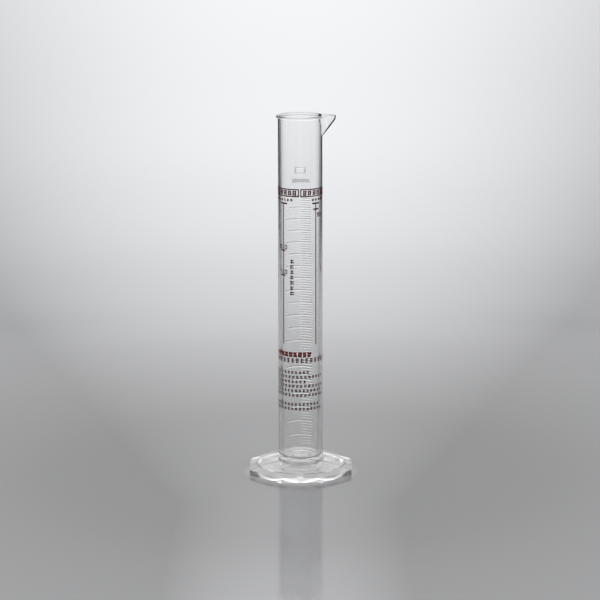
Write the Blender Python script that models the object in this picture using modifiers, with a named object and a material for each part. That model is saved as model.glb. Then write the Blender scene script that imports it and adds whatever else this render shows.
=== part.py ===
"""Graduated cylinder of 100 ml in clear plastic, for Blender 4.5.

A tapered measuring tube with a beaded rim and a pouring lip stands in a hollow eight-sided foot. The moulded
graduations are on the tube's back, at +Y, and a red scale, headings and notes are printed on its front, at -Y.
The lip points to +X. Metres, +Z up. The origin is the middle of the foot's underside.
"""

import math

import bmesh
import bpy
from mathutils import Vector

MM = 0.001

OBJECT_NAME = "graduated_cylinder"
SEGMENTS = 64                       # facets round every turned surface
ARC_STEP = math.radians(5.6)        # widest facet of a print layer or a raised mark
GAP = 0.3 * MM                      # clearance between touching parts
MERGE = 0.01 * MM

# Tube: outer wall, bore and floor
HEIGHT = 255.3 * MM
RADIUS_TOP = 15.55 * MM
RADIUS_BOTTOM = 15.74 * MM
FLOOR = 11.1 * MM                   # inside floor above the table
FLOOR_THICKNESS = 1.7 * MM
FLOOR_FILLET = 2.0 * MM
FULL_ML = 100.0
FULL_MARK = 195.3 * MM              # height of the 100 ml mark
BORE_FLOOR = 12.22 * MM             # bore radius at the floor
BORE_FULL = 14.05 * MM              # bore radius at the 100 ml mark
BORE_SLOPE = (BORE_FULL - BORE_FLOOR) / (FULL_MARK - FLOOR)

# Rim bead
BEAD_RADIUS = 16.8 * MM
BEAD_HEIGHT = 2.0 * MM
BEAD_STEPS = 6

# Pouring lip, a hollow V beak level with the rim
LIP_REACH = 24.7 * MM
LIP_ROOT = 11.2 * MM                # the beak starts inside the wall
LIP_HALF_WIDTH = 9.6 * MM           # at the root
LIP_TIP_HALF = 1.0 * MM
LIP_TIP_HEIGHT = 2.7 * MM
LIP_WALL = 1.15 * MM
KEEL_ROOT = 14.9 * MM
KEEL_HALF = 0.6 * MM
KEEL_DEPTH = 16.1 * MM
KEEL_WALL = 2.5 * MM                # measured straight down

# Joint between tube and foot: a hollow spigot in a socket
JOINT = 8.65 * MM                   # height of the tube's shoulder
SPIGOT_RADIUS = 13.4 * MM
SPIGOT_WALL = 1.5 * MM
SPIGOT_END = 1.0 * MM
SPIGOT_CHAMFER = 0.4 * MM

# Foot: an eight-sided skirt, a sloping shoulder, a round ridge and a shallow cone up to the hub
FOOT_FLATS = 72.8 * MM
FOOT_SIDES = 8
SKIRT_HEIGHT = 3.8 * MM
SKIRT_WALL = 0.9 * MM              # the ring that the foot stands on
EDGE_BEVEL = 0.35 * MM
RIDGE_RADIUS = 31.3 * MM
RIDGE_HEIGHT = 6.1 * MM
RIDGE_HALF = 0.7 * MM
PLATE_EDGE = 5.3 * MM              # height of the plate beside the ridge
PLATE_BELOW = 28.0 * MM            # where the skirt's inner slope meets the plate
HUB_RADIUS = 16.4 * MM
HUB_HEIGHT = 7.9 * MM
PLATE_THICKNESS = 1.9 * MM
SOCKET_WALL = 1.5 * MM

# Gate rib, a small half-round bar down the front of the foot
GATE_RADIUS = 2.0 * MM
GATE_SIDE = -0.9 * MM
GATE_INNER = 29.0 * MM
GATE_OUTER = 35.9 * MM

# Raised graduations, one at each 10 ml, as angles round the back
MARK_STEP_ML = 10
MARK_ANGLES = (-30.0, 32.0)
MARK_WIDTH = 0.5 * MM
MARK_RAISE = 0.25 * MM
MARK_ROOT = 0.3 * MM

# Print layers: angles are degrees round the front, positive towards +X
INK_THICKNESS = 0.2 * MM
LINE_WIDTH = 0.65 * MM
LINE_DEGREES = 2.0
PRINT_LEFT = -93.0
PRINT_RIGHT = 90.0
HEADING_SPLIT = (-3.0, 0.0)
HEADING_BOTTOM = 199.9 * MM
HEADING_TOP = 205.6 * MM
HEADING_MARGIN = 1.1 * MM
HEADING_MARGIN_DEGREES = 5.0
CAPTION_BOTTOM = 196.8 * MM
CAPTION_HEIGHT = 1.8 * MM
SCALE_END_ML = 41.8
LEFT_SCALE = -48.7
RIGHT_SCALE = 44.3
LEFT_BAR = (-58.5, -36.0)
RIGHT_BAR = (32.5, 57.0)
LEFT_TICKS_ML = (79.7, 69.4)
LEFT_TICK = (-58.5, -42.0)
RIGHT_TICKS_ML = (97.3,)
RIGHT_TICK = (35.5, 53.5)
NUMBER_HEIGHT = 3.0 * MM
NUMBER_LIFT = 0.9 * MM
LEFT_NUMBER = (-67.0, -51.5)
RIGHT_NUMBER = (49.0, 62.0)
RIGHT_NUMBER_DROP = 5.6 * MM
COLUMN_LABEL = (-28.0, -16.0, 129.8 * MM, 156.2 * MM)
EDGE_LABEL = (62.0, 66.0, 146.4 * MM, 150.6 * MM)
TITLE = (-82.0, 29.5, 85.9 * MM, 89.5 * MM)
SUBTITLE = (-88.0, 84.0, 81.8 * MM, 85.2 * MM)
START_MARK = (-61.0, -56.0, 77.0 * MM, 79.0 * MM)
NOTE_LEFT = -88.0
NOTE_RIGHTS = (24.0, 71.0, 15.5, 71.0, 64.0, 71.0, None, 54.0, 64.5)   # None is the empty line
NOTE_TOP = 74.8 * MM                # middle of the first line
NOTE_PITCH = 3.3 * MM
NOTE_HEIGHT = 2.0 * MM


def clear_scene():
    for thing in list(bpy.data.objects):
        bpy.data.objects.remove(thing, do_unlink=True)


def new_collection(name):
    collection = bpy.data.collections.new(name)
    bpy.context.scene.collection.children.link(collection)
    return collection


def principled(name, colour, roughness, transmission=0.0):
    material = bpy.data.materials.new(name)
    material.use_nodes = True
    shader = material.node_tree.nodes["Principled BSDF"]
    shader.inputs["Base Color"].default_value = (*colour, 1.0)
    shader.inputs["Roughness"].default_value = roughness
    shader.inputs["Metallic"].default_value = 0.0
    shader.inputs["Transmission Weight"].default_value = transmission
    shader.inputs["IOR"].default_value = 1.46
    return material


def new_object(name, collection, material=None):
    """An object with an empty mesh, in its collection and with its material."""
    thing = bpy.data.objects.new(name, bpy.data.meshes.new(name))
    collection.objects.link(thing)
    if material:
        thing.data.materials.append(material)
    return thing


def as_cutter(thing):
    thing.hide_render = True
    thing.display_type = "WIRE"
    return thing


def shade(thing, degrees=40):
    thing.data.shade_smooth()
    thing.data.set_sharp_from_angle(angle=math.radians(degrees))


def turned(name, profile, collection, material=None):
    """A turned body from (radius, height) points that run down its outer side."""
    thing = new_object(name, collection, material)
    points = [(radius, 0.0, height) for radius, height in profile]
    thing.data.from_pydata(points, [(i, i + 1) for i in range(len(points) - 1)], [])
    screw = thing.modifiers.new("Screw", "SCREW")
    screw.axis = "Z"
    screw.angle = 2 * math.pi
    screw.steps = SEGMENTS
    screw.render_steps = SEGMENTS
    screw.use_merge_vertices = True
    screw.merge_threshold = MERGE
    screw.use_smooth_shade = True
    return thing


def boolean(thing, operation, other):
    modifier = thing.modifiers.new(other.name, "BOOLEAN")
    modifier.operation = operation
    modifier.solver = "EXACT"
    if isinstance(other, bpy.types.Collection):
        modifier.operand_type = "COLLECTION"
        modifier.collection = other
    else:
        modifier.object = other


def hull(name, points, collection):
    """The convex body round a few corners."""
    thing = new_object(name, collection)
    mesh = bmesh.new()
    for point in points:
        mesh.verts.new(point)
    made = bmesh.ops.convex_hull(mesh, input=mesh.verts)
    bmesh.ops.delete(mesh, geom=made["geom_interior"], context="VERTS")
    bmesh.ops.recalc_face_normals(mesh, faces=mesh.faces)
    mesh.to_mesh(thing.data)
    mesh.free()
    return thing


def tube_radius(height):
    """Outer radius of the tapered tube."""
    share = height / HEIGHT
    return RADIUS_BOTTOM + (RADIUS_TOP - RADIUS_BOTTOM) * share


def bore_radius(height):
    return BORE_FLOOR + BORE_SLOPE * (height - FLOOR)


def height_of(millilitres):
    """Where the filling stands: the volume of a cone's frustum from the floor, solved for its top radius."""
    volume = millilitres * MM ** 3 * 1000
    top = (BORE_FLOOR ** 3 + 3 * BORE_SLOPE * volume / math.pi) ** (1 / 3)
    return FLOOR + (top - BORE_FLOOR) / BORE_SLOPE


def arc(centre, radii, start, end, steps):
    """Points (radius, height) along part of an ellipse, its angles in degrees."""
    points = []
    for i in range(steps + 1):
        angle = math.radians(start + (end - start) * i / steps)
        points.append((centre[0] + radii[0] * math.cos(angle), centre[1] + radii[1] * math.sin(angle)))
    return points


# Tube

def tube_outside():
    """Profile of the tube's outside, from the middle of the rim plane down to the middle of the floor's underside."""
    middle = HEIGHT - BEAD_HEIGHT / 2
    wall = tube_radius(middle)
    spigot_bore = SPIGOT_RADIUS - SPIGOT_WALL
    underside = FLOOR - FLOOR_THICKNESS
    profile = [(0.0, HEIGHT)]
    profile += arc((wall, middle), (BEAD_RADIUS - wall, BEAD_HEIGHT / 2), 90, -90, BEAD_STEPS)
    profile += [
        (tube_radius(JOINT), JOINT),
        (SPIGOT_RADIUS, JOINT),
        (SPIGOT_RADIUS, SPIGOT_END + SPIGOT_CHAMFER),
        (SPIGOT_RADIUS - SPIGOT_CHAMFER, SPIGOT_END),
        (spigot_bore, SPIGOT_END),
        (spigot_bore, underside - FLOOR_FILLET / 2),
        (spigot_bore - FLOOR_FILLET / 2, underside),
        (0.0, underside),
    ]
    return profile


def tube_bore():
    """Profile of the bore, with a rounded corner at the floor and open above the rim."""
    above = HEIGHT + 5 * MM
    corner = (bore_radius(FLOOR + FLOOR_FILLET) - FLOOR_FILLET, FLOOR + FLOOR_FILLET)
    profile = [(0.0, above), (bore_radius(above), above), (bore_radius(HEIGHT), HEIGHT)]
    profile += arc(corner, (FLOOR_FILLET, FLOOR_FILLET), 0, -90, 4)
    profile += [(0.0, FLOOR)]
    return profile


def lip_blank(cutters):
    """The beak's outside, from inside the tube's wall out to its tip."""
    low = HEIGHT - KEEL_DEPTH
    corners = []
    for side in (-1, 1):
        corners += [
            (LIP_ROOT, side * LIP_HALF_WIDTH, HEIGHT),
            (LIP_REACH, side * LIP_TIP_HALF, HEIGHT),
            (LIP_REACH, side * LIP_TIP_HALF, HEIGHT - LIP_TIP_HEIGHT),
            (KEEL_ROOT, side * KEEL_HALF, low),
        ]
    return hull("lip_blank", corners, cutters)


def lip_channel(cutters):
    """The beak's inside, open to the bore and above."""
    above = HEIGHT + 5 * MM
    inner_root = LIP_ROOT - 3 * MM
    spread = (LIP_HALF_WIDTH - LIP_TIP_HALF) / (LIP_REACH - LIP_ROOT)
    side_wall = LIP_WALL * math.hypot(1.0, spread)
    fall = (KEEL_DEPTH - LIP_TIP_HEIGHT) / (LIP_REACH - KEEL_ROOT)
    half = LIP_HALF_WIDTH - side_wall + spread * (LIP_ROOT - inner_root)
    end = LIP_REACH - LIP_WALL
    end_half = LIP_TIP_HALF - side_wall + spread * LIP_WALL
    end_floor = HEIGHT - LIP_TIP_HEIGHT + KEEL_WALL - fall * LIP_WALL
    root_floor = end_floor - fall * (end - inner_root)
    corners = []
    for side in (-1, 1):
        corners += [
            (inner_root, side * half, above),
            (inner_root, side * half, HEIGHT),
            (end, side * end_half, above),
            (end, side * end_half, end_floor),
            (inner_root, side * KEEL_HALF / 2, root_floor),
        ]
    return hull("lip_channel", corners, cutters)


def make_tube(parts, cutters, plastic):
    tube = turned("measuring_tube", tube_outside(), parts, plastic)
    bore = as_cutter(turned("tube_bore", tube_bore(), cutters))
    marks = new_collection("raised_marks")
    for millilitres in range(MARK_STEP_ML, int(FULL_ML) + 1, MARK_STEP_ML):
        as_cutter(raised_mark(millilitres, marks))
    boolean(tube, "UNION", as_cutter(lip_blank(cutters)))
    boolean(tube, "DIFFERENCE", bore)
    boolean(tube, "DIFFERENCE", as_cutter(lip_channel(cutters)))
    boolean(tube, "UNION", marks)
    return tube


# Foot

def ring(size, height, sides=0):
    """Points of one level of the foot: a circle of this radius, or a polygon this far from middle to flat."""
    points = []
    for i in range(SEGMENTS):
        angle = 2 * math.pi * i / SEGMENTS
        radius = size
        if sides:
            sector = 2 * math.pi / sides
            radius = size / math.cos((angle + sector / 2) % sector - sector / 2)
        points.append(Vector((radius * math.cos(angle), radius * math.sin(angle), height)))
    return points


def foot_levels():
    """The foot's section as rings, down the outside from the socket's mouth and up the inside to it again."""
    flat = FOOT_FLATS / 2
    inner_flat = flat - SKIRT_WALL
    socket = SPIGOT_RADIUS + GAP
    seat = JOINT - GAP
    socket_end = SPIGOT_END - GAP
    hub = socket + SOCKET_WALL
    plate_under = PLATE_EDGE - PLATE_THICKNESS
    return [
        ring(socket, seat),
        ring(tube_radius(JOINT), seat),
        ring(HUB_RADIUS, HUB_HEIGHT),
        ring(RIDGE_RADIUS - RIDGE_HALF, PLATE_EDGE),
        ring(RIDGE_RADIUS - RIDGE_HALF / 2, RIDGE_HEIGHT),
        ring(RIDGE_RADIUS + RIDGE_HALF / 2, RIDGE_HEIGHT),
        ring(RIDGE_RADIUS + RIDGE_HALF, PLATE_EDGE),
        ring(flat - EDGE_BEVEL, SKIRT_HEIGHT, FOOT_SIDES),
        ring(flat, SKIRT_HEIGHT - EDGE_BEVEL, FOOT_SIDES),
        ring(flat, 0.0, FOOT_SIDES),
        ring(inner_flat, 0.0, FOOT_SIDES),
        ring(PLATE_BELOW, plate_under, FOOT_SIDES),
        ring(hub, HUB_HEIGHT - PLATE_THICKNESS),
        ring(hub, socket_end),
        ring(socket, socket_end),
    ]


def make_foot(parts, cutters, plastic):
    """A loft through the rings, closed on itself, because the skirt is eight-sided and the hub is round."""
    foot = new_object("octagonal_foot", parts, plastic)
    mesh = bmesh.new()
    levels = [[mesh.verts.new(point) for point in level] for level in foot_levels()]
    for upper, lower in zip(levels, levels[1:] + levels[:1]):
        for i in range(SEGMENTS):
            j = (i + 1) % SEGMENTS
            mesh.faces.new((upper[i], lower[i], lower[j], upper[j]))
    bmesh.ops.recalc_face_normals(mesh, faces=mesh.faces)
    mesh.to_mesh(foot.data)
    mesh.free()
    shade(foot, 25)
    boolean(foot, "UNION", as_cutter(gate_rib(cutters)))
    return foot


def gate_rib(cutters):
    """A short bar that lies on the shoulder at the middle of the front flat and stops in the skirt."""
    start = Vector((GATE_SIDE, -GATE_INNER, RIDGE_HEIGHT - GATE_RADIUS * 0.6))
    end = Vector((GATE_SIDE, -GATE_OUTER, GATE_RADIUS * 1.2))
    way = end - start
    bpy.ops.mesh.primitive_cylinder_add(
        vertices=16, radius=GATE_RADIUS, depth=way.length, location=(start + end) / 2
    )
    rib = bpy.context.object
    rib.name = "gate_rib"
    rib.rotation_euler = way.to_track_quat("Z", "Y").to_euler()
    for home in list(rib.users_collection):
        home.objects.unlink(rib)
    cutters.objects.link(rib)
    return rib


# Layers on the tube's wall: raised marks and print

def stations(limits, widest):
    """Sorted limits, with more between any two that are further apart than the widest step."""
    limits = sorted(set(limits))
    values = limits[:1]
    for low, high in zip(limits, limits[1:]):
        steps = max(1, math.ceil((high - low) / widest - 1e-6))
        values += [low + (high - low) * i / steps for i in range(1, steps + 1)]
    return values


def layer(name, boxes, collection, material, lift, thickness, side=-1):
    """A thin shell on the tube's wall that covers boxes of (left, right, bottom, top), in degrees and metres.

    The boxes touch or overlap, so the shell is one body. Its side is -1 on the front and 1 on the back.
    """
    thing = new_object(name, collection, material)
    angles = stations([math.radians(a) for box in boxes for a in box[:2]], ARC_STEP)
    heights = stations([h for box in boxes for h in box[2:]], HEIGHT)
    mesh = bmesh.new()
    corners = {}

    def corner(i, j):
        if (i, j) not in corners:
            radius = tube_radius(heights[j]) + lift
            place = (radius * math.sin(angles[i]), side * radius * math.cos(angles[i]), heights[j])
            corners[i, j] = mesh.verts.new(place)
        return corners[i, j]

    for i in range(len(angles) - 1):
        for j in range(len(heights) - 1):
            angle = math.degrees(angles[i] + angles[i + 1]) / 2
            height = (heights[j] + heights[j + 1]) / 2
            if any(b[0] < angle < b[1] and b[2] < height < b[3] for b in boxes):
                loop = [corner(i, j), corner(i + 1, j), corner(i + 1, j + 1), corner(i, j + 1)]
                mesh.faces.new(loop if side < 0 else loop[::-1])
    mesh.to_mesh(thing.data)
    mesh.free()
    solidify = thing.modifiers.new("Solidify", "SOLIDIFY")
    solidify.thickness = thickness
    solidify.offset = 1.0
    shade(thing)
    return thing


def raised_mark(millilitres, collection):
    level = height_of(millilitres)
    box = (*MARK_ANGLES, level - MARK_WIDTH / 2, level + MARK_WIDTH / 2)
    name = f"mark_{millilitres}_ml"
    return layer(name, [box], collection, None, -MARK_ROOT, MARK_ROOT + MARK_RAISE, side=1)


def level_bar(span, height):
    """A box of one line's width along the tube's turn."""
    return (*span, height - LINE_WIDTH / 2, height + LINE_WIDTH / 2)


def scale_boxes(angle, bar, tick, ticks_ml):
    """An upright line from the 100 ml level down, with a bar across its top and a tick at each level given."""
    top = height_of(FULL_ML)
    upright = (angle - LINE_DEGREES / 2, angle + LINE_DEGREES / 2, height_of(SCALE_END_ML), top)
    return [upright, level_bar(bar, top)] + [level_bar(tick, height_of(ml)) for ml in ticks_ml]


def frame_boxes(left, right, bottom, top):
    """The four sides of a rectangle's outline."""
    return [
        (left, right, top - LINE_WIDTH, top),
        (left, right, bottom, bottom + LINE_WIDTH),
        (left, left + LINE_DEGREES, bottom, top),
        (right - LINE_DEGREES, right, bottom, top),
    ]


def print_areas():
    """Each printed item's name and the boxes that it covers."""
    areas = {}
    halves = {"left": (PRINT_LEFT, HEADING_SPLIT[0]), "right": (HEADING_SPLIT[1], PRINT_RIGHT)}
    captions = {"left": (PRINT_LEFT + HEADING_MARGIN_DEGREES, -18.5), "right": (29.5, PRINT_RIGHT - 12.0)}
    for half, (left, right) in halves.items():
        areas[f"{half}_heading_frame"] = frame_boxes(left, right, HEADING_BOTTOM, HEADING_TOP)
        inner = (left + HEADING_MARGIN_DEGREES, right - HEADING_MARGIN_DEGREES)
        areas[f"{half}_heading_print"] = [
            (*inner, HEADING_BOTTOM + HEADING_MARGIN, HEADING_TOP - HEADING_MARGIN)
        ]
        areas[f"{half}_caption_print"] = [(*captions[half], CAPTION_BOTTOM, CAPTION_BOTTOM + CAPTION_HEIGHT)]
    areas["left_scale_line"] = scale_boxes(LEFT_SCALE, LEFT_BAR, LEFT_TICK, LEFT_TICKS_ML)
    areas["right_scale_line"] = scale_boxes(RIGHT_SCALE, RIGHT_BAR, RIGHT_TICK, RIGHT_TICKS_ML)
    for name, millilitres in zip(("upper", "lower"), LEFT_TICKS_ML):
        bottom = height_of(millilitres) + NUMBER_LIFT
        areas[f"left_scale_{name}_number"] = [(*LEFT_NUMBER, bottom, bottom + NUMBER_HEIGHT)]
    bottom = height_of(RIGHT_TICKS_ML[0]) - RIGHT_NUMBER_DROP
    areas["right_scale_number"] = [(*RIGHT_NUMBER, bottom, bottom + NUMBER_HEIGHT)]
    areas["column_label_print"] = [COLUMN_LABEL]
    areas["edge_label_print"] = [EDGE_LABEL]
    areas["title_print"] = [TITLE]
    areas["subtitle_print"] = [SUBTITLE]
    areas["notes_start_mark"] = [START_MARK]
    areas.update(note_areas())
    return areas


def note_areas():
    """The lines of small print, one below the other."""
    areas = {}
    for line, right in enumerate(NOTE_RIGHTS):
        if right is not None:
            middle = NOTE_TOP - NOTE_PITCH * line
            box = (NOTE_LEFT, right, middle - NOTE_HEIGHT / 2, middle + NOTE_HEIGHT / 2)
            areas[f"note_line_{len(areas) + 1}"] = [box]
    return areas


def make_print(parts, ink):
    for name, boxes in print_areas().items():
        layer(name, boxes, parts, ink, GAP, INK_THICKNESS)


def main():
    clear_scene()
    parts = new_collection(OBJECT_NAME)
    cutters = new_collection("cutters")
    plastic = principled("clear_plastic", (0.95, 0.96, 0.96), 0.06, transmission=1.0)
    ink = principled("red_ink", (0.45, 0.05, 0.07), 0.45)
    make_tube(parts, cutters, plastic)
    make_foot(parts, cutters, plastic)
    make_print(parts, ink)


main()
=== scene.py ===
"""Looks of a 100 ml graduated cylinder: clear moulded plastic, raised graduations and red print."""

import math
import random

import bmesh
import bpy
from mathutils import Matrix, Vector


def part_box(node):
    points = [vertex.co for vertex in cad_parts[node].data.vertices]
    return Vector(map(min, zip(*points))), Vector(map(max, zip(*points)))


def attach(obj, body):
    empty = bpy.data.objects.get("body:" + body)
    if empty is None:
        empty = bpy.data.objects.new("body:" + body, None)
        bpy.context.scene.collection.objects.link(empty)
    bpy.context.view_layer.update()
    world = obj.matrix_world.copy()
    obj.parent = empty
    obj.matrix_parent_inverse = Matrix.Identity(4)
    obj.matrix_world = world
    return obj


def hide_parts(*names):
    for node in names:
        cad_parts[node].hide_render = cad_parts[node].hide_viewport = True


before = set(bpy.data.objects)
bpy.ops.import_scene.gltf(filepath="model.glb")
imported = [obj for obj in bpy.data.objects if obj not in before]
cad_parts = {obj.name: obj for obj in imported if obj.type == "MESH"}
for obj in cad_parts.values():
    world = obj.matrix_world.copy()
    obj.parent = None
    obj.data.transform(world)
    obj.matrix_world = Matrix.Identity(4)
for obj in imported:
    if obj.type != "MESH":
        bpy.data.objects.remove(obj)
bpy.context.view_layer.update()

MM = 0.001
TURN = 2 * math.pi

# Places that the frame gives
TUBE_LOW, TUBE_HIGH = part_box("measuring_tube")
FOOT_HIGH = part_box("octagonal_foot")[1]
HEIGHT = TUBE_HIGH.z
FOOT_FLAT = FOOT_HIGH.x             # middle of the foot to one of its flats

# Tube
COLUMNS = 192                       # points round every turned surface
RADIUS_TOP = 15.55 * MM
RADIUS_BOTTOM = 15.74 * MM
FLOOR = 11.1 * MM
FLOOR_THICKNESS = 1.2 * MM
FLOOR_DOME = 0.6 * MM               # how much the inside floor rises to its middle
FLOOR_ROUND = 2.2 * MM
FLOOR_BOSS = (6.5 * MM, 0.5 * MM)   # radius and height of the disc under the floor
FULL_ML = 100
FULL_MARK = 195.3 * MM
BORE_FLOOR = 12.22 * MM
BORE_FULL = 14.05 * MM
BORE_SLOPE = (BORE_FULL - BORE_FLOOR) / (FULL_MARK - FLOOR)
BEAD_RADIUS = 16.8 * MM
BEAD_HEIGHT = 2.0 * MM
RIM_EASE = (0.35 * MM, 0.4 * MM)    # how far the rim's inner edge is cut back, outwards and down

# Pouring lip
LIP_REACH = 24.7 * MM
LIP_ROOT = 11.2 * MM
LIP_HALF_WIDTH = 9.6 * MM
LIP_TIP_HALF = 1.0 * MM
LIP_TIP_HEIGHT = 2.7 * MM
LIP_WALL = 1.15 * MM
LIP_ROUND = 0.3 * MM
KEEL_ROOT = 14.9 * MM
KEEL_HALF = 0.6 * MM
KEEL_DEPTH = 16.1 * MM
KEEL_WALL = 2.2 * MM
CUT_ABOVE = 5.0 * MM                # how far the cutting shapes reach past the rim
CHANNEL_OVERLAP = 3.0 * MM          # how far the lip's channel reaches into the bore
PLUG_DEPTH = 25.0 * MM

# Joint between the tube and the foot
JOINT = 8.65 * MM
SPIGOT_RADIUS = 13.4 * MM
SPIGOT_WALL = 1.5 * MM
SPIGOT_EDGE = 0.4 * MM
SPIGOT_ROUND = 0.9 * MM
SOCKET_BELOW = 0.3 * MM             # how far the socket reaches below the spigot
BOND_GAP = 0.02 * MM

# Foot
FOOT_SIDES = 8
CORNER_POWER = 70                   # higher gives sharper corners between the flats
SKIRT_HEIGHT = 3.8 * MM
SKIRT_WALL = 0.9 * MM               # the ring that the foot stands on
RIDGE_RADIUS = 31.3 * MM
RIDGE_HEIGHT = 6.1 * MM
RIDGE_HALF = 0.7 * MM
PLATE_EDGE = 5.3 * MM               # height of the plate beside the ridge
PLATE_BELOW = 28.0 * MM             # where the slope under the foot ends, as a distance to a flat
HUB_RADIUS = 16.4 * MM
HUB_HEIGHT = 7.9 * MM
PLATE_THICKNESS = 1.9 * MM
SOCKET_WALL = 1.5 * MM
FOOT_ROUND = 0.3 * MM
GATE_SIDE = -0.6 * MM
GATE_HALF = 1.9 * MM
GATE_ROUND = 0.5 * MM
GATE_SECTION = (                    # how far out and how high
    (27.0 * MM, 4.6 * MM), (27.0 * MM, 6.3 * MM), (32.5 * MM, 6.8 * MM),
    (36.8 * MM, 4.4 * MM), (36.8 * MM, 2.0 * MM), (35.0 * MM, 2.0 * MM),
)

# Raised graduations, and the raised blocks above them, as degrees round the back
MARK_WIDTHS = {10: 1.25 * MM, 5: 1.25 * MM, 1: 0.85 * MM}
MARK_RAISES = (0.3, 0.25)           # as a share of the width, at the 100 ml mark and at the floor
MARK_RIGHT = (30.5, 45.0)           # at the 100 ml mark and at the floor
MARK_LEFTS = {10: (-46.0, -52.0), 5: (-33.0, -41.0), 1: (0.0, 0.0)}
FIRST_ML = 2
BACK_FRAME = (15.0, 211.2 * MM, 216.2 * MM)   # half width in degrees, lowest and highest height
BACK_ROW = (25.0, 205.0 * MM, 207.8 * MM)
BACK_BLOCKS = 8
BACK_COVER = 0.55                   # each block's share of its place in the row
BACK_RAIL = 0.9 * MM
BACK_GAP = 0.09 * MM
BACK_RAISE = 0.25 * MM
BACK_SLOPE = 0.3 * MM               # how far the sides of the raised blocks lean in

# Print, as degrees round the front
INK_LIFT = 0.012 * MM
INK_THICKNESS = 0.03 * MM
STROKE_CORNER = 0.12 * MM
STROKE_STEP = 2.0                   # degrees between the points along a stroke
BAR_SHORT = 0.2                     # how much of a block's width a bar may leave free at each end
POST_START = (0.2, 0.5)             # where a post starts in its share of the block
POST_BACK = 0.1                     # and how far back it is moved, and its width, in block widths
POST_WIDTH = 0.25
LINE_WIDTH = 0.8 * MM
BAR_WIDTH = 1.1 * MM
LEFT_SCALE = -48.7
RIGHT_SCALE = 43.5
LEFT_TICKS_ML = (79.7, 69.4)
LEFT_TICK = (-58.5, -42.0)
RIGHT_TICKS_ML = (97.3,)
RIGHT_TICK = (35.5, 53.5)
DIGIT_LINE = 0.6 * MM
LEFT_DIGITS = ((-64.0, -53.5), (-44.5, -36.0))
RIGHT_DIGITS = ((48.5, 56.0), (58.5, 66.0))
DIGIT_PARTS = {                     # a is the top bar, b to f follow clockwise and g is the middle bar
    "0": "abcdef", "5": "afgcd", "7": "abc", "8": "abcdefg", "9": "abcdfg",
}
SCALES = {
    "left_scale_line": (LEFT_SCALE, LEFT_TICK, LEFT_TICKS_ML),
    "right_scale_line": (RIGHT_SCALE, RIGHT_TICK, RIGHT_TICKS_ML),
}
NUMBERS = {
    "left_scale_upper_number": ("80", LEFT_DIGITS),
    "left_scale_lower_number": ("70", LEFT_DIGITS),
    "right_scale_number": ("95", RIGHT_DIGITS),
}
COLUMN_BLOCKS = 7
COLUMN_STYLE = {"bars": 2, "weight": 0.5, "posts": 1}
HEADING_STYLE = {"bars": 3, "weight": 0.62, "posts": 2}
SMALL_STYLE = {"cell": 1.4, "cover": 0.74, "bars": 2, "weight": 0.72, "posts": 1}
LINE_STYLES = {
    "left_heading_print": HEADING_STYLE,
    "right_heading_print": HEADING_STYLE,
    "title_print": {"cell": 0.9, "cover": 0.93, "bars": 2, "weight": 0.84, "posts": 2},
    "edge_label_print": {"cell": 1.0, "cover": 1.0, "bars": 2, "weight": 1.0, "posts": 2},
    "subtitle_print": {"bars": 3, "weight": 0.55, "posts": 1},
}

# Materials
PLASTIC_IOR = 1.46
PLASTIC_PALE = (0.985, 0.985, 0.985)
HAZE_SPREAD = 0.006
ROUGH_SPREAD = 0.01
TUBE_CLEARNESS = (0.945, 0.994)     # at the foot and at the rim
TUBE_COLOUR = (0.995, 0.996, 0.995)
TUBE_ROUGHNESS = 0.02
FOOT_CLEARNESS = (0.925, 0.925)
FOOT_COLOUR = (0.98, 0.978, 0.975)
FOOT_ROUGHNESS = 0.03
DARK_INK = ((0.068, 0.002, 0.004), (0.048, 0.0015, 0.003))
TITLE_INK = ((0.15, 0.003, 0.007), (0.11, 0.0025, 0.005))
INK_ROUGHNESS = (0.35, 0.6)
INK_SHEEN = 0.08
RELIEF = 0.01 * MM                  # depth of the moulding waves and of the ink's grain
CLOUD_SCALE = 45                    # the noise scales are waves to the metre
GRAIN_SCALE = 220
WAVE_SCALE = 160
INK_SCALES = (900, 2500, 6000)      # for its colour, its roughness and its grain

# Stage and light. A curve is a row of stops: a value from 0 to 1, and the result there.
FLOOR_RADIUS = 12.0
FLOOR_DROP = 0.05 * MM
FLOOR_FADE = 2.5                    # the distance that counts as 1 in the floor's curves
FLOOR_SHARE = 0.65                  # how much of its curve's grey the floor takes
# painted light and shade: the floor's grey is painted dark round the object and paler away from it, in place
# of the fall of the studio light
FLOOR_PAINTED_GREYS = (
    (0.0, 0.243), (0.045, 0.243), (0.095, 0.305), (0.15, 0.42), (0.218, 0.59),
    (0.3, 0.655), (0.38, 0.72), (0.5, 0.765), (0.65, 0.805), (1.0, 0.82),
)
FLOOR_GLOSS = ((0.0, 0.1), (0.1, 0.1), (0.22, 0.0), (1.0, 0.0))
FLOOR_TINT = (0.985, 0.995, 1.02)
FLOOR_ROUGHNESS = (0.07, 0.11)
FLOOR_GRAIN = 40                    # waves to the metre
PAINTED_GLOW_UNDER_FOOT = 2.1                    # painted light: the floor is painted paler below the foot and just in front, in place of the light that the clear foot gathers
PAINTED_GLOW_FORWARD = 4.5 * MM
PAINTED_GLOW_EDGES = (32.0 * MM, 42.0 * MM)
PAINTED_POOL_MIDDLE = -8.5 * MM             # painted light: the floor is painted palest along a line in Y, at this X
PAINTED_POOL_NEAR = (3.25, 1.07)            # the pale strip's width: its growth along Y, and its value at the object
PAINTED_POOL_FAR = (2.04, 1.775)            # the same further away, where it grows more slowly
PAINTED_POOL_LEAST = 0.8
PAINTED_SIDE_SHADE = 44.0                    # painted shade: how fast the floor is painted darker away from the strip's middle
PAINTED_SIDE_SHADE_MOST = 0.4
DOME_PEAK = 5.0                     # the strength that counts as 1 in the dome's curve
DOME = (                            # sine of the elevation, strength
    (0.0, 0.85), (0.1, 0.9), (0.45, 0.75), (0.7, 0.7), (0.82, 2.9), (1.0, 3.3),
)
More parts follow.
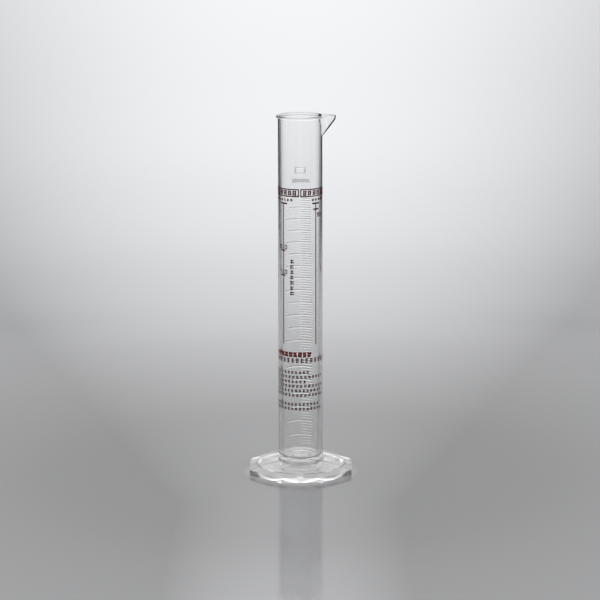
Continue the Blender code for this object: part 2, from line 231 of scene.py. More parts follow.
DARK_FRONT = ((0.0, 0.0), (0.25, 0.3), (0.5, 1.0), (1.0, 1.0))
DARK_BAND = ((0.0, 0.0), (0.2, 0.0), (0.35, 1.0), (0.65, 1.0), (0.75, 0.0), (1.0, 0.0))
DARK_MOST = 0.85
SHADE_NEAR = 0.56
SHADE_HEIGHT = 1.5 * MM
SHADE_SPAN = 2.0                    # the distance to the side that counts as 1
SHADE_SECTOR = TURN / 8
SHADE_IN_FRONT = 0.25
SHADE_TURN = 0.2                    # how far before and behind the object the front's share changes over
SHADE_SIDES = (
    (0.0, 0.0), (0.09, 0.02), (0.11, 0.07), (0.14, 0.25), (0.17, 0.55), (0.2, 0.9), (0.25, 0.98),
    (0.48, 0.97), (0.58, 0.6), (0.7, 0.45), (1.0, 0.45),
)
SHADE_GAP = ((0.0, 1.0), (0.86, 1.0), (0.93, 0.35), (1.0, 0.0))
SHADE_FADE = ((0.0, 0.3), (0.5, 0.4), (0.65, 0.7), (0.85, 1.0), (1.0, 1.0))

# Camera and render
CAMERA_PLACE = (0.0004, -1.6546, 0.4767)
CAMERA_DOWN = 0.2101
CAMERA_ROLL = 0.002
CAMERA_LENS = 143.8
CAMERA_SENSOR = 36.0
BOUNCES = 24                        # enough to pass every wall of the clear pieces


def wall_radius(height):
    return RADIUS_BOTTOM + (RADIUS_TOP - RADIUS_BOTTOM) * height / HEIGHT


def bore_radius(height):
    return BORE_FLOOR + BORE_SLOPE * (height - FLOOR)


def height_of(millilitres):
    """Height of the filling: a cone's frustum above the floor, solved for its top radius."""
    volume = millilitres * MM ** 3 * 1000
    top = (BORE_FLOOR ** 3 + 3 * BORE_SLOPE * volume / math.pi) ** (1 / 3)
    return FLOOR + (top - BORE_FLOOR) / BORE_SLOPE


# Materials

def sum_node(tree, operation, *values):
    """The result of a sum on numbers, each a socket or a plain value."""
    node = tree.nodes.new("ShaderNodeMath")
    node.operation = operation
    for value, socket in zip(values, node.inputs):
        if isinstance(value, (int, float)):
            socket.default_value = value
        else:
            tree.links.new(value, socket)
    return node.outputs["Value"]


class Nodes:
    """A material's node tree, with short calls to add nodes and link them."""

    def __init__(self, name):
        self.material = bpy.data.materials.new(name)
        self.material.use_nodes = True
        self.tree = self.material.node_tree
        self.shader = self.tree.nodes["Principled BSDF"]
        self.output = self.tree.nodes["Material Output"]

    def add(self, kind, **settings):
        node = self.tree.nodes.new(kind)
        for key, value in settings.items():
            setattr(node, key, value)
        return node

    def link(self, source, target):
        self.tree.links.new(source, target)

    def coordinates(self, scale):
        """Object coordinates, stretched by a scale for each axis."""
        place = self.add("ShaderNodeTexCoord")
        mapping = self.add("ShaderNodeMapping")
        mapping.inputs["Scale"].default_value = scale
        self.link(place.outputs["Object"], mapping.inputs["Vector"])
        return mapping.outputs["Vector"]

    def noise(self, scale, detail, stretch=(1, 1, 1)):
        node = self.add("ShaderNodeTexNoise")
        node.inputs["Scale"].default_value = scale
        node.inputs["Detail"].default_value = detail
        self.link(self.coordinates(stretch), node.inputs["Vector"])
        return node.outputs["Fac"]

    def ramp(self, factor, low, high, start=0.0, end=1.0, kind="LINEAR"):
        """A number that runs from low to high as the factor goes from start to end, and stays within them."""
        node = self.add("ShaderNodeMapRange", interpolation_type=kind)
        for name, value in (("From Min", start), ("From Max", end), ("To Min", low), ("To Max", high)):
            node.inputs[name].default_value = value
        self.link(factor, node.inputs["Value"])
        return node.outputs["Result"]

    def axes(self, vector):
        """The outputs X, Y and Z of a vector."""
        node = self.add("ShaderNodeSeparateXYZ")
        self.link(vector, node.inputs["Vector"])
        return node.outputs

    def length(self, vector):
        node = self.add("ShaderNodeVectorMath", operation="LENGTH")
        self.link(vector, node.inputs[0])
        return node.outputs["Value"]

    def blend(self, factor, first, second):
        """A colour between two."""
        node = self.add("ShaderNodeMix", data_type="RGBA")
        node.inputs["A"].default_value = (*first, 1.0)
        node.inputs["B"].default_value = (*second, 1.0)
        self.link(factor, node.inputs["Factor"])
        return node.outputs["Result"]

    def sum(self, operation, *values):
        return sum_node(self.tree, operation, *values)

    def bump(self, height, distance):
        node = self.add("ShaderNodeBump")
        node.inputs["Distance"].default_value = distance
        node.inputs["Strength"].default_value = 1.0
        self.link(height, node.inputs["Height"])
        self.link(node.outputs["Normal"], self.shader.inputs["Normal"])


def clear_plastic(name, clearness, colour, roughness):
    """Clear polyolefin with faint moulding waves, its clearness given at the foot and at the rim."""
    nodes = Nodes(name)
    shader = nodes.shader
    shader.inputs["IOR"].default_value = PLASTIC_IOR
    cloud = nodes.noise(CLOUD_SCALE, 3, stretch=(1, 1, 0.25))
    height = nodes.sum("DIVIDE", nodes.axes(nodes.coordinates((1, 1, 1)))["Z"], HEIGHT)
    clear = nodes.ramp(height, *clearness)
    clear = nodes.sum("ADD", clear, nodes.ramp(cloud, -HAZE_SPREAD, HAZE_SPREAD))
    nodes.link(clear, shader.inputs["Transmission Weight"])
    nodes.link(nodes.blend(cloud, colour, PLASTIC_PALE), shader.inputs["Base Color"])
    rough = nodes.ramp(nodes.noise(GRAIN_SCALE, 3), roughness - ROUGH_SPREAD, roughness + ROUGH_SPREAD)
    nodes.link(rough, shader.inputs["Roughness"])
    nodes.bump(nodes.noise(WAVE_SCALE, 1, stretch=(1, 1, 0.15)), RELIEF)
    return nodes.material


def bonded_face():
    """The joint's faces: plastic meets plastic there, so light goes straight on."""
    nodes = Nodes("bonded_face")
    clear = nodes.add("ShaderNodeBsdfTransparent")
    nodes.link(clear.outputs["BSDF"], nodes.output.inputs["Surface"])
    return nodes.material


def screen_ink(name, colour, other_colour):
    """Screen print: red, a little uneven in its colour, with a fine grain."""
    nodes = Nodes(name)
    colour_scale, rough_scale, grain_scale = INK_SCALES
    blend = nodes.blend(nodes.noise(colour_scale, 3), colour, other_colour)
    nodes.link(blend, nodes.shader.inputs["Base Color"])
    nodes.link(nodes.ramp(nodes.noise(rough_scale, 2), *INK_ROUGHNESS), nodes.shader.inputs["Roughness"])
    nodes.shader.inputs["Specular IOR Level"].default_value = INK_SHEEN
    nodes.bump(nodes.noise(grain_scale, 2), RELIEF)
    return nodes.material


# Meshes

def shade_smooth(data, degrees):
    """Smooth shading, with edges sharper than this kept crisp."""
    data.shade_smooth()
    data.set_sharp_from_angle(angle=math.radians(degrees))


def new_piece(name, mesh, materials, smooth=30):
    """An object from a bmesh, which it frees."""
    data = bpy.data.meshes.new(name)
    mesh.to_mesh(data)
    mesh.free()
    for material in materials:
        data.materials.append(material)
    piece = bpy.data.objects.new(name, data)
    bpy.context.scene.collection.objects.link(piece)
    shade_smooth(data, smooth)
    return piece


def cut_share(end, corner, cut):
    """How much of a corner's side its rounding takes: always less than half."""
    return min(0.45, cut / max((end - corner).length, 1e-9))


def soften(points, cut, steps=4):
    """An open line's points with each corner rounded, starting this far from the corner."""
    line = [Vector(p) for p in points]
    softened = [line[0]]
    for before, corner, after in zip(line, line[1:], line[2:]):
        start = corner + (before - corner) * cut_share(before, corner, cut)
        end = corner + (after - corner) * cut_share(after, corner, cut)
        for i in range(steps + 1):
            t = i / steps
            softened.append(start * (1 - t) ** 2 + corner * 2 * t * (1 - t) + end * t ** 2)
    return softened + [line[-1]]


def arc(centre, radius, start, end, steps):
    """Points on a circle in the plane of (radius, height), between two angles in degrees."""
    points = []
    for i in range(steps + 1):
        angle = math.radians(start + (end - start) * i / steps)
        points.append((centre[0] + radius * math.cos(angle), centre[1] + radius * math.sin(angle)))
    return points


def skin(mesh, rings, materials=None):
    """Faces between each ring of points and the next. A ring may be a single point, at a pole."""
    rows = [[mesh.verts.new(point) for point in ring] for ring in rings]
    for level, (upper, lower) in enumerate(zip(rows, rows[1:])):
        for i in range(COLUMNS):
            j = (i + 1) % COLUMNS
            if len(upper) == 1:
                corners = (upper[0], lower[i], lower[j])
            elif len(lower) == 1:
                corners = (upper[i], lower[0], upper[j])
            else:
                corners = (upper[i], lower[i], lower[j], upper[j])
            face = mesh.faces.new(corners)
            if materials:
                face.material_index = materials[level]


def circle(radius, height):
    if radius <= 0.0:
        return [Vector((0.0, 0.0, height))]
    return [
        Vector((radius * math.sin(TURN * i / COLUMNS), radius * math.cos(TURN * i / COLUMNS), height))
        for i in range(COLUMNS)
    ]


def boolean(piece, operation, other):
    """Applies a Boolean and removes the other object."""
    modifier = piece.modifiers.new("Boolean", "BOOLEAN")
    modifier.operation = operation
    modifier.solver = "MANIFOLD"
    modifier.object = other
    bpy.context.view_layer.update()
    done = bpy.data.meshes.new_from_object(piece.evaluated_get(bpy.context.evaluated_depsgraph_get()))
    piece.modifiers.clear()
    piece.data = done
    bpy.data.objects.remove(other)


def hull(points, rounding=0.0):
    """The convex body round a few corners, its edges rounded."""
    mesh = bmesh.new()
    for point in points:
        mesh.verts.new(point)
    made = bmesh.ops.convex_hull(mesh, input=mesh.verts)
    bmesh.ops.delete(mesh, geom=made["geom_interior"], context="VERTS")
    bmesh.ops.dissolve_limit(mesh, angle_limit=0.01, verts=mesh.verts, edges=mesh.edges)
    if rounding:
        bmesh.ops.bevel(
            mesh, geom=mesh.edges, offset=rounding, segments=4, profile=0.5,
            affect="EDGES", clamp_overlap=True,
        )
    bmesh.ops.recalc_face_normals(mesh, faces=mesh.faces)
    return new_piece("hull", mesh, [])


# Tube

def window(degrees, left, right):
    """1 between two angles and 0 outside them, over about one column."""
    step = 360 / COLUMNS
    return max(0.0, min(1.0, (degrees - left) / step, (right - degrees) / step))


def down_the_scale(ends, height):
    """A value between those at the 100 ml mark and at the floor."""
    share = (FULL_MARK - height) / (FULL_MARK - FLOOR)
    return ends[0] + (ends[1] - ends[0]) * share


def marked_ring(height, rise, left, right):
    """One level of the tube's outside, raised on the back where a graduation runs."""
    ring = []
    for i in range(COLUMNS):
        angle = TURN * i / COLUMNS
        degrees = math.degrees(math.remainder(angle, TURN))
        radius = wall_radius(height) + rise * window(degrees, left, right)
        ring.append(Vector((radius * math.sin(angle), radius * math.cos(angle), height)))
    return ring


def marked_wall():
    """The outside from the 100 ml mark down to the first mark: each mark is a low rounded ridge."""
    rings = []
    for millilitres in range(FULL_ML, FIRST_ML - 1, -1):
        step = next(step for step in (10, 5, 1) if millilitres % step == 0)
        middle, width = height_of(millilitres), MARK_WIDTHS[step]
        left, right = down_the_scale(MARK_LEFTS[step], middle), down_the_scale(MARK_RIGHT, middle)
        crest = down_the_scale(MARK_RAISES, middle) * width
        for share in (1.0, 0.6, 0.2, -0.2, -0.6, -1.0):
            rings.append(marked_ring(middle + share * width / 2, crest * (1 - share ** 2), left, right))
    return rings


def tube_rings():
    """Rings from the middle of the floor up the bore, over the rim and down to the lowest mark."""
    bore = bore_radius(HEIGHT)
    inside = [(0.0, FLOOR + FLOOR_DOME), (bore_radius(FLOOR), FLOOR), (bore, HEIGHT - RIM_EASE[1])]
    half = BEAD_HEIGHT / 2
    rim = [(bore + RIM_EASE[0], HEIGHT)]
    rim += arc((BEAD_RADIUS - half, HEIGHT - half), half, 90, -90, 12)
    for height in (HEIGHT - BEAD_HEIGHT, HEIGHT - 2 * BEAD_HEIGHT):
        rim.append((wall_radius(height), height))
    return [circle(*point) for point in soften(inside, FLOOR_ROUND, 8) + rim] + marked_wall()


def spigot_rings():
    """Rings below the joint: the bonded shoulder and spigot, then the free edge and underside."""
    end = TUBE_LOW.z
    bore = SPIGOT_RADIUS - SPIGOT_WALL
    under = FLOOR - FLOOR_THICKNESS
    boss_radius, boss_height = FLOOR_BOSS
    edge = (SPIGOT_RADIUS, end + SPIGOT_EDGE)
    bonded = [(wall_radius(JOINT), JOINT), (SPIGOT_RADIUS, JOINT), edge]
    free = [edge, (SPIGOT_RADIUS - SPIGOT_EDGE, end), (bore, end), (bore, under)]
    free += [(boss_radius, under), (boss_radius, under - boss_height), (0.0, under - boss_height)]
    return [circle(*p) for p in bonded], [circle(*p) for p in soften(free, SPIGOT_ROUND)[1:]]


def lip_outside():
    """The lip before its channel is cut: a wedge that narrows to its tip and to the keel below."""
    low = HEIGHT - KEEL_DEPTH
    corners = []
    for side in (-1, 1):
        corners += [
            (LIP_ROOT, side * LIP_HALF_WIDTH, HEIGHT),
            (LIP_REACH, side * LIP_TIP_HALF, HEIGHT),
            (LIP_REACH, side * LIP_TIP_HALF, HEIGHT - LIP_TIP_HEIGHT),
            (KEEL_ROOT, side * KEEL_HALF, low),
        ]
    return hull(corners, LIP_ROUND)


def lip_channel():
    """The convex body that is cut from the lip to make its channel."""
    above = HEIGHT + CUT_ABOVE
    inner_root = LIP_ROOT - CHANNEL_OVERLAP
    spread = (LIP_HALF_WIDTH - LIP_TIP_HALF) / (LIP_REACH - LIP_ROOT)
    side_wall = LIP_WALL * math.hypot(1.0, spread)
    fall = (KEEL_DEPTH - LIP_TIP_HEIGHT) / (LIP_REACH - KEEL_ROOT)
    half = LIP_HALF_WIDTH - side_wall + spread * (LIP_ROOT - inner_root)
    end = LIP_REACH - LIP_WALL
    end_half = LIP_TIP_HALF - side_wall + spread * LIP_WALL
    end_floor = HEIGHT - LIP_TIP_HEIGHT + KEEL_WALL - fall * LIP_WALL
    root_floor = end_floor - fall * (end - inner_root)
    corners = []
    for side in (-1, 1):
        corners += [
            (inner_root, side * half, above),
            (inner_root, side * half, HEIGHT),
            (end, side * end_half, above),
            (end, side * end_half, end_floor),
            (inner_root, side * KEEL_HALF / 2, root_floor),
        ]
    return hull(corners)


def bore_plug():
    """Fills the bore near the rim, to clear out what the lip's body leaves inside the wall."""
    mesh = bmesh.new()
    low, high = HEIGHT - PLUG_DEPTH, HEIGHT + CUT_ABOVE
    outline = [(0, high), (bore_radius(high), high), (bore_radius(low), low), (0, low)]
    skin(mesh, [circle(*point) for point in outline])
    bmesh.ops.recalc_face_normals(mesh, faces=mesh.faces)
    return new_piece("plug", mesh, [])


def make_tube(plastic, bond):
    mesh = bmesh.new()
    rings = tube_rings()
    bonded, free = spigot_rings()
    finishes = [0] * len(rings) + [1] * (len(bonded) - 1) + [0] * len(free)
    skin(mesh, rings + bonded + free, finishes)
    bmesh.ops.recalc_face_normals(mesh, faces=mesh.faces)
    tube = new_piece("clear_tube", mesh, [plastic, bond])
    boolean(tube, "UNION", lip_outside())
    boolean(tube, "DIFFERENCE", bore_plug())
    boolean(tube, "DIFFERENCE", lip_channel())
    shade_smooth(tube.data, 28)
    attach(tube, "root")
    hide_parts("measuring_tube")
    return tube


# Foot

def flats_reach(angle):
    """How far an eight-sided outline with softened corners reaches, for 1 from its middle to a flat."""
    total = 0.0
    for side in range(FOOT_SIDES):
        facing = math.cos(angle - TURN * side / FOOT_SIDES)
        total += max(0.0, facing) ** CORNER_POWER
    return total ** (-1 / CORNER_POWER)


def foot_ring(size, height, squareness):
    """One level of the foot: round for a squareness of 0 and eight-sided for 1."""
    ring = []
    for i in range(COLUMNS):
        angle = TURN * i / COLUMNS
        radius = size * (1 - squareness + squareness * flats_reach(angle))
        ring.append(Vector((radius * math.sin(angle), radius * math.cos(angle), height)))
    return ring


def foot_section():
    """The foot's free surface as (size, height, squareness), from the tube's wall to the socket's end."""
    inner = FOOT_FLAT - SKIRT_WALL
    socket = SPIGOT_RADIUS + BOND_GAP
    low = TUBE_LOW.z - SOCKET_BELOW
    hub = socket + SOCKET_WALL
    under = PLATE_EDGE - PLATE_THICKNESS
    return [
        (wall_radius(JOINT), JOINT - BOND_GAP, 0),
        (HUB_RADIUS, HUB_HEIGHT, 0),
        (RIDGE_RADIUS - RIDGE_HALF, PLATE_EDGE, 0),
        (RIDGE_RADIUS - RIDGE_HALF / 2, RIDGE_HEIGHT, 0),
        (RIDGE_RADIUS + RIDGE_HALF / 2, RIDGE_HEIGHT, 0),
        (RIDGE_RADIUS + RIDGE_HALF, PLATE_EDGE, 0),
        (FOOT_FLAT, SKIRT_HEIGHT, 1),
        (FOOT_FLAT, 0, 1),
        (inner, 0, 1),
        (PLATE_BELOW, under, 1),
        (hub, HUB_HEIGHT - PLATE_THICKNESS, 0),
        (hub, low, 0),
        (socket, low, 0),
    ]


def make_foot(plastic, bond):
    mesh = bmesh.new()
    section = soften(foot_section(), FOOT_ROUND)
    rings = [foot_ring(*point) for point in section]
    socket = SPIGOT_RADIUS + BOND_GAP
    joint = [foot_ring(socket, section[-1][1], 0), foot_ring(socket, JOINT - BOND_GAP, 0), rings[0]]
    skin(mesh, rings)
    skin(mesh, joint, [1, 1])
    bmesh.ops.remove_doubles(mesh, verts=mesh.verts, dist=0.001 * MM)
    bmesh.ops.recalc_face_normals(mesh, faces=mesh.faces)
    foot = new_piece("clear_foot", mesh, [plastic, bond], 20)
    boolean(foot, "UNION", gate_rib())
    shade_smooth(foot.data, 20)
    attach(foot, "root")
    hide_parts("octagonal_foot")
    return foot


def gate_rib():
    """The bar that the gate leaves on the shoulder and down the front flat."""
    corners = []
    for out, up in GATE_SECTION:
        corners += [(GATE_SIDE + side * GATE_HALF, -out, up) for side in (-1, 1)]
    return hull(corners, GATE_ROUND)


# Print

def span(node):
    """A CAD print node's left and right angle, in degrees, and its lowest and highest height."""
    points = [v.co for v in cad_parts[node].data.vertices]
    angles = [math.degrees(math.atan2(p.x, -p.y)) for p in points]
    heights = [p.z for p in points]
    return min(angles), max(angles), min(heights), max(heights)


def join_columns(mesh, columns):
    """Closes a body round columns of four points each."""
    for one, two in zip(columns, columns[1:]):
        for i in range(4):
            j = (i + 1) % 4
            mesh.faces.new((one[i], one[j], two[j], two[i]))
    mesh.faces.new(columns[0][::-1])
    mesh.faces.new(columns[-1])


def add_stroke(mesh, left, right, bottom, top):
    """A closed patch on the wall between two angles and two heights, with its corners cut."""
    corner = min(STROKE_CORNER, (top - bottom) / 3)
    corner_degrees = math.degrees(corner / RADIUS_TOP)
    steps = max(1, math.ceil((right - left) / STROKE_STEP))
    stations = [left, left + corner_degrees]
    stations += [left + (right - left) * i / steps for i in range(1, steps)]
    stations += [right - corner_degrees, right]
    columns = []
    for number, degrees in enumerate(sorted(stations)):
        inset = corner if number in (0, len(stations) - 1) else 0.0
        angle = math.radians(degrees)
        column = []
        for height, lift in (
            (bottom + inset, INK_LIFT),
            (bottom + inset, INK_LIFT + INK_THICKNESS),
            (top - inset, INK_LIFT + INK_THICKNESS),
            (top - inset, INK_LIFT),
        ):
            radius = wall_radius(height) + lift
            column.append(mesh.verts.new((radius * math.sin(angle), -radius * math.cos(angle), height)))
        columns.append(column)
    join_columns(mesh, columns)


def add_block(mesh, area, rng, bars, weight, posts):
    """A few thick bars with posts across them: the grey of one printed sign, without its wording."""
    left, right, bottom, top = area
    width, size = right - left, top - bottom
    for bar in range(bars):
        middle = bottom + size * (bar + 0.5) / bars
        start = left + width * rng.uniform(0.0, BAR_SHORT)
        end = right - width * rng.uniform(0.0, BAR_SHORT)
        add_stroke(mesh, start, end, middle - size * weight / bars / 2, middle + size * weight / bars / 2)
    for post in range(posts):
        start = left + width * ((post + rng.uniform(*POST_START)) / posts - POST_BACK)
        add_stroke(mesh, start, start + width * POST_WIDTH, bottom, top)


def fill_line(mesh, area, rng, cell=1.0, cover=0.84, **block):
    """A row of blocks, each about as wide as the row is high."""
    left, right, bottom, top = area
    pitch = math.degrees((top - bottom) * cell / RADIUS_TOP)
    count = max(1, round((right - left) / pitch))
    pitch = (right - left) / count
    for i in range(count):
        start = left + pitch * (i + 0.5 - cover / 2)
        add_block(mesh, (start, start + pitch * cover, bottom, top), rng, **block)


def fill_column(mesh, area, rng, count, cover=0.78, **block):
    """A stack of blocks, one below the other."""
    left, right, bottom, top = area
    pitch = (top - bottom) / count
    for i in range(count):
        low = bottom + pitch * (i + 0.5 - cover / 2)
        add_block(mesh, (left, right, low, low + pitch * cover), rng, **block)


def add_level(mesh, left, right, height):
    add_stroke(mesh, left, right, height - BAR_WIDTH / 2, height + BAR_WIDTH / 2)


def add_upright(mesh, degrees, bottom, top, width):
    half = math.degrees(width / RADIUS_TOP) / 2
    add_stroke(mesh, degrees - half, degrees + half, bottom, top)


def scale_print(mesh, node, upright, tick, ticks_ml):
    """An upright line with a bar across its top and ticks."""
    left, right, bottom, top = span(node)
    add_upright(mesh, upright, bottom, top, LINE_WIDTH)
    add_level(mesh, left, right, top - BAR_WIDTH / 2)
    for millilitres in ticks_ml:
        add_level(mesh, *tick, height_of(millilitres))


def frame_print(mesh, node):
    left, right, bottom, top = span(node)
    half = math.degrees(LINE_WIDTH / RADIUS_TOP) / 2
    add_stroke(mesh, left, right, bottom, bottom + LINE_WIDTH)
    add_stroke(mesh, left, right, top - LINE_WIDTH, top)
    add_upright(mesh, left + half, bottom, top, LINE_WIDTH)
    add_upright(mesh, right - half, bottom, top, LINE_WIDTH)


def digit_print(mesh, digit, area, width):
    """A digit as straight strokes along the sides of two squares."""
    left, right, bottom, top = area
    middle = (bottom + top) / 2
    half = math.degrees(width / RADIUS_TOP) / 2
    levels = {"a": top - width / 2, "g": middle, "d": bottom + width / 2}
    posts = {
        "f": (left, middle, top), "b": (right, middle, top),
        "e": (left, bottom, middle), "c": (right, bottom, middle),
    }
    for part in DIGIT_PARTS[digit]:
        if part in levels:
            add_stroke(mesh, left, right, levels[part] - width / 2, levels[part] + width / 2)
        else:
            degrees, low, high = posts[part]
            middle_of_post = degrees + (half if degrees == left else -half)
            add_upright(mesh, middle_of_post, low, high, width)


def number_print(mesh, node, digits, places):
    """Digits at places round the wall, at the height of a CAD print node."""
    _, _, bottom, top = span(node)
    for digit, (left, right) in zip(digits, places):
        digit_print(mesh, digit, (left, right, bottom, top), DIGIT_LINE)


def print_item(mesh, node, rng):
    """Draws one printed item on the area of its CAD node."""
    if node in SCALES:
        scale_print(mesh, node, *SCALES[node])
    elif node in NUMBERS:
        number_print(mesh, node, *NUMBERS[node])
    elif node.endswith("_frame"):
        frame_print(mesh, node)
    elif node == "column_label_print":
        fill_column(mesh, span(node), rng, COLUMN_BLOCKS, **COLUMN_STYLE)
    else:
        fill_line(mesh, span(node), rng, **LINE_STYLES.get(node, SMALL_STYLE))


def make_print(dark_ink, title_ink):
    rng = random.Random(4)
    for node in sorted(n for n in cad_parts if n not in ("measuring_tube", "octagonal_foot")):
        mesh = bmesh.new()
        print_item(mesh, node, rng)
        bmesh.ops.recalc_face_normals(mesh, faces=mesh.faces)
        piece = new_piece("ink_" + node, mesh, [title_ink if node == "title_print" else dark_ink])
        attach(piece, "root")
        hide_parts(node)


# Raised blocks

def add_pad(mesh, left, right, bottom, top):
    """A closed raised block on the wall, its four sides leaning in."""
    lean = math.degrees(BACK_SLOPE / RADIUS_TOP)
    steps = max(1, math.ceil((right - left) / STROKE_STEP))
    columns = []
    for i in range(steps + 1):
        base = left + (right - left) * i / steps
        crest = left + lean + (right - left - 2 * lean) * i / steps
        column = []
        for degrees, height, lift in (
            (base, bottom, 0.0),
            (crest, bottom + BACK_SLOPE, BACK_RAISE),
            (crest, top - BACK_SLOPE, BACK_RAISE),
            (base, top, 0.0),
        ):
            angle = math.radians(degrees)
            radius = wall_radius(height) + INK_LIFT + lift
            column.append(mesh.verts.new((radius * math.sin(angle), -radius * math.cos(angle), height)))
        columns.append(column)
    join_columns(mesh, columns)


def make_raised_blocks(plastic):
    """Plain raised blocks on the back, in the place of the moulded wording: a frame above a row of blocks."""
    mesh = bmesh.new()
    half, bottom, top = BACK_FRAME
    rail = math.degrees(BACK_RAIL / RADIUS_TOP)
    inner_bottom = bottom + BACK_RAIL + BACK_GAP
    inner_top = top - BACK_RAIL - BACK_GAP
    parts = [(-half, half, bottom, bottom + BACK_RAIL), (-half, half, top - BACK_RAIL, top)]
    parts += [(-half, rail - half, inner_bottom, inner_top), (half - rail, half, inner_bottom, inner_top)]
    half, bottom, top = BACK_ROW
    pitch = 2 * half / BACK_BLOCKS
    for i in range(BACK_BLOCKS):
        start = -half + pitch * i
        parts.append((start, start + pitch * BACK_COVER, bottom, top))
    for left, right, low, high in parts:
        add_pad(mesh, 180 + left, 180 + right, low, high)
    bmesh.ops.recalc_face_normals(mesh, faces=mesh.faces)
    piece = new_piece("raised_blocks", mesh, [plastic])
    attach(piece, "root")
    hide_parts("measuring_tube")


# Stage, light and camera

def follow(tree, value, stops):
    """A number that follows a curve's stops smoothly, for a value from 0 to 1."""
    node = tree.nodes.new("ShaderNodeFloatCurve")
    points = node.mapping.curves[0].points
    while len(points) < len(stops):
        points.new(0.5, 0.5)
    for point, stop in zip(points, stops):
        point.location = stop
        point.handle_type = "AUTO_CLAMPED"
    node.mapping.update()
    tree.links.new(value, node.inputs["Value"])
    return node.outputs["Value"]


def painted_floor_light(name):
    """A floor material and its grey, with painted light and shade: paler away from the object and under the
    foot, darker to both sides.

    Returns the nodes, the place's axes, the distance as a share of FLOOR_FADE, and the grey.
    """
    nodes = Nodes(name)
    place = nodes.add("ShaderNodeNewGeometry").outputs["Position"]
    axes = nodes.axes(place)
    far = nodes.sum("DIVIDE", nodes.length(place), FLOOR_FADE)
    forward = nodes.add("ShaderNodeVectorMath", operation="ADD")
    forward.inputs[1].default_value = (0.0, PAINTED_GLOW_FORWARD, 0.0)
    nodes.link(place, forward.inputs[0])
    # painted light: the floor is painted paler under the foot and just in front of it
    painted_foot_glow = nodes.ramp(nodes.length(forward.outputs["Vector"]), PAINTED_GLOW_UNDER_FOOT, 1.0, *PAINTED_GLOW_EDGES, "SMOOTHSTEP")
    # painted light and shade: a pale strip along Y, painted darker to both sides
    near_width = nodes.sum("MULTIPLY_ADD", axes["Y"], *PAINTED_POOL_NEAR)
    far_width = nodes.sum("MULTIPLY_ADD", axes["Y"], *PAINTED_POOL_FAR)
    width = nodes.sum("MAXIMUM", nodes.sum("MINIMUM", near_width, far_width), PAINTED_POOL_LEAST)
    side = nodes.sum("DIVIDE", nodes.sum("SUBTRACT", axes["X"], PAINTED_POOL_MIDDLE), width)
    side_shade_loss = nodes.sum("MULTIPLY", nodes.sum("MULTIPLY", side, side), PAINTED_SIDE_SHADE)
    painted_pool = nodes.sum("SUBTRACT", 1.0, nodes.sum("MINIMUM", side_shade_loss, PAINTED_SIDE_SHADE_MOST))
    grey = nodes.sum("MULTIPLY", follow(nodes.tree, far, FLOOR_PAINTED_GREYS), painted_foot_glow)
    return nodes, axes, far, nodes.sum("MULTIPLY", nodes.sum("MULTIPLY", grey, painted_pool), FLOOR_SHARE)


def paint(nodes, grey):
    """Gives a floor's shader its tinted grey."""
    tint = nodes.add("ShaderNodeVectorMath", operation="SCALE")
    tint.inputs[0].default_value = FLOOR_TINT
    nodes.link(grey, tint.inputs["Scale"])
    nodes.link(tint.outputs["Vector"], nodes.shader.inputs["Base Color"])


def make_stage():
    """A pale, slightly glossy floor, its grey carrying painted light and painted shade."""
    nodes, _, far, grey = painted_floor_light("painted_floor_light")
    paint(nodes, grey)
    rough = nodes.ramp(nodes.noise(FLOOR_GRAIN, 3), *FLOOR_ROUGHNESS)
    nodes.link(rough, nodes.shader.inputs["Roughness"])
    nodes.link(follow(nodes.tree, far, FLOOR_GLOSS), nodes.shader.inputs["Specular IOR Level"])
    mesh = bmesh.new()
    bmesh.ops.create_circle(mesh, cap_ends=True, segments=96, radius=FLOOR_RADIUS)
    bmesh.ops.translate(mesh, verts=mesh.verts, vec=(0.0, 0.0, -FLOOR_DROP))
    new_piece("floor", mesh, [nodes.material])


def side_darkness(nodes, axes):
    """Painted shade: darkness to both sides of each of four ways out from the object, with a gap half way
    between them.
    """
    sector = nodes.sum("PINGPONG", nodes.sum("ARCTAN2", axes["X"], axes["Y"]), SHADE_SECTOR)
    squares = [nodes.sum("POWER", axes[axis], 2.0) for axis in "XY"]
    reach = nodes.sum("SQRT", nodes.sum("ADD", *squares))
    side = nodes.sum("MULTIPLY", reach, nodes.sum("SINE", sector))
    parts = [
        follow(nodes.tree, nodes.sum("DIVIDE", side, SHADE_SPAN), SHADE_SIDES),
        follow(nodes.tree, nodes.sum("DIVIDE", sector, SHADE_SECTOR), SHADE_GAP),
        follow(nodes.tree, reach, SHADE_FADE),
        nodes.ramp(axes["Y"], SHADE_IN_FRONT, 1.0, -SHADE_TURN, SHADE_TURN),
    ]
    dark = parts[0]
    for part in parts[1:]:
        dark = nodes.sum("MULTIPLY", dark, part)
    return dark


def make_shades():
    """A ring of painted shade just above the floor that shows only through and on the plastic, where it
    darkens the edges.
    """
    nodes, axes, _, grey = painted_floor_light("shade_paint")
    bright = nodes.sum("SUBTRACT", 1.0, side_darkness(nodes, axes))
    paint(nodes, nodes.sum("MULTIPLY", grey, bright))
    nodes.shader.inputs["Specular IOR Level"].default_value = 0.0
    mesh = bmesh.new()
    skin(mesh, [circle(SHADE_NEAR, SHADE_HEIGHT), circle(FLOOR_RADIUS, SHADE_HEIGHT)])
    ring = new_piece("shade_ring", mesh, [nodes.material])
    ring.visible_camera = False
    ring.visible_diffuse = False
    ring.visible_shadow = False


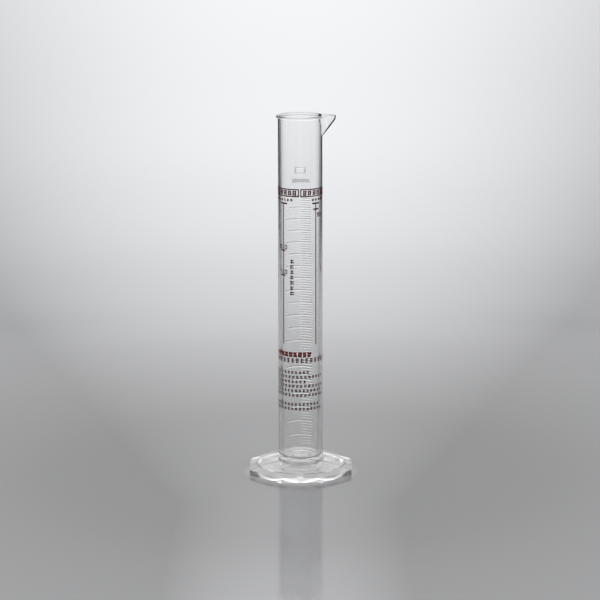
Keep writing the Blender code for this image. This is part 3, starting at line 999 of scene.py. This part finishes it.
def make_light():
    """A dome: pale at the horizon, bright overhead, and dark half way up behind the camera."""
    world = bpy.data.worlds.new("studio")
    bpy.context.scene.world = world
    world.use_nodes = True
    tree = world.node_tree
    background = tree.nodes["Background"]
    background.inputs["Color"].default_value = (1.0, 1.0, 1.0, 1.0)
    place = tree.nodes.new("ShaderNodeTexCoord")
    split = tree.nodes.new("ShaderNodeSeparateXYZ")
    tree.links.new(place.outputs["Generated"], split.inputs["Vector"])
    strength = follow(tree, split.outputs["Z"], [(sine, value / DOME_PEAK) for sine, value in DOME])
    front = follow(tree, sum_node(tree, "MULTIPLY", split.outputs["Y"], -1.0), DARK_FRONT)
    band = follow(tree, split.outputs["Z"], DARK_BAND)
    dark = sum_node(tree, "MULTIPLY", sum_node(tree, "MULTIPLY", front, band), DARK_MOST)
    lit = sum_node(tree, "MULTIPLY", strength, sum_node(tree, "SUBTRACT", 1.0, dark))
    tree.links.new(sum_node(tree, "MULTIPLY", lit, DOME_PEAK), background.inputs["Strength"])


def make_camera():
    data = bpy.data.cameras.new("camera")
    data.sensor_width = CAMERA_SENSOR
    data.lens = CAMERA_LENS
    data.clip_end = 50.0
    camera = bpy.data.objects.new("camera", data)
    camera.location = CAMERA_PLACE
    camera.rotation_euler = (math.pi / 2 - CAMERA_DOWN, CAMERA_ROLL, 0.0)
    bpy.context.scene.collection.objects.link(camera)
    bpy.context.scene.camera = camera


def set_render():
    scene = bpy.context.scene
    scene.view_settings.view_transform = "Standard"
    scene.cycles.max_bounces = BOUNCES
    scene.cycles.transmission_bounces = BOUNCES
    scene.cycles.transparent_max_bounces = BOUNCES


tube_plastic = clear_plastic("clear_tube_plastic", TUBE_CLEARNESS, TUBE_COLOUR, TUBE_ROUGHNESS)
foot_plastic = clear_plastic("clear_foot_plastic", FOOT_CLEARNESS, FOOT_COLOUR, FOOT_ROUGHNESS)
bond = bonded_face()
make_tube(tube_plastic, bond)
make_raised_blocks(tube_plastic)
make_foot(foot_plastic, bond)
make_print(screen_ink("red_ink", *DARK_INK), screen_ink("title_ink", *TITLE_INK))
make_stage()
make_light()
make_shades()
make_camera()
set_render()
